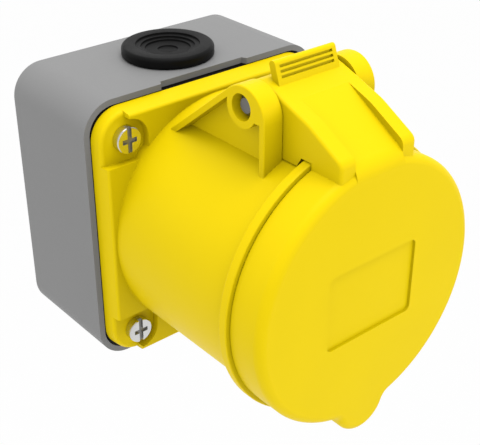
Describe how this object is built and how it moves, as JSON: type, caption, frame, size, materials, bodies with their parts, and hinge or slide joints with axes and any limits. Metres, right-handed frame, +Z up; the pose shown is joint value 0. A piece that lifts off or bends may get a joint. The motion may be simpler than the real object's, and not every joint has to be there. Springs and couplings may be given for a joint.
{
  "type": "pin and sleeve socket outlet",
  "caption": "Wall-mounted pin and sleeve socket outlet: round sleeve with a sprung hinged lid and square flange, screwed to a surface back box with a rubber cable entry.",
  "frame": {"origin": "centre of the back box's rear face, which lies against the wall", "axes": "+Z up, -Y towards the lid's face (the front), +Y into the wall, +X to the right of someone who faces the lid"},
  "size_m": [0.08, 0.1032, 0.1002],
  "materials": {
    "grey_plastic": "satin",
    "yellow_plastic": "satin",
    "black_rubber": "matt",
    "insert_plastic": "matt",
    "brass": "machined",
    "zinc_plated_steel": "bright zinc",
    "spring_steel": "drawn"
  },
  "bodies": {
    "base": {"back_box": "grey_plastic", "entry_grommet": "black_rubber", "flange_gasket": "black_rubber", "socket_housing": "yellow_plastic", "flange_screws": "zinc_plated_steel", "contact_carrier": "insert_plastic", "carrier_plate": "insert_plastic", "carrier_screws": "zinc_plated_steel", "centre_screw": "zinc_plated_steel", "line_contact_left": "brass", "line_contact_top": "brass", "earth_contact": "brass", "contact_rings": "spring_steel", "terminal_screws": "zinc_plated_steel", "hinge_pin": "zinc_plated_steel", "lid_spring": "spring_steel"},
    "lid_body": {"lid": "yellow_plastic", "lid_gasket": "black_rubber"}
  },
  "joints": [
    {"name": "lid_hinge", "type": "hinge", "parent": "base", "child": "lid_body", "pos_m": [0, -0.0743, 0.04675], "axis": [-1, 0, 0], "range_deg": [0, 110], "stiffness_Nm_per_rad": 0.03, "springref_deg": -34.38, "deforming": ["lid_spring"]}
  ]
}
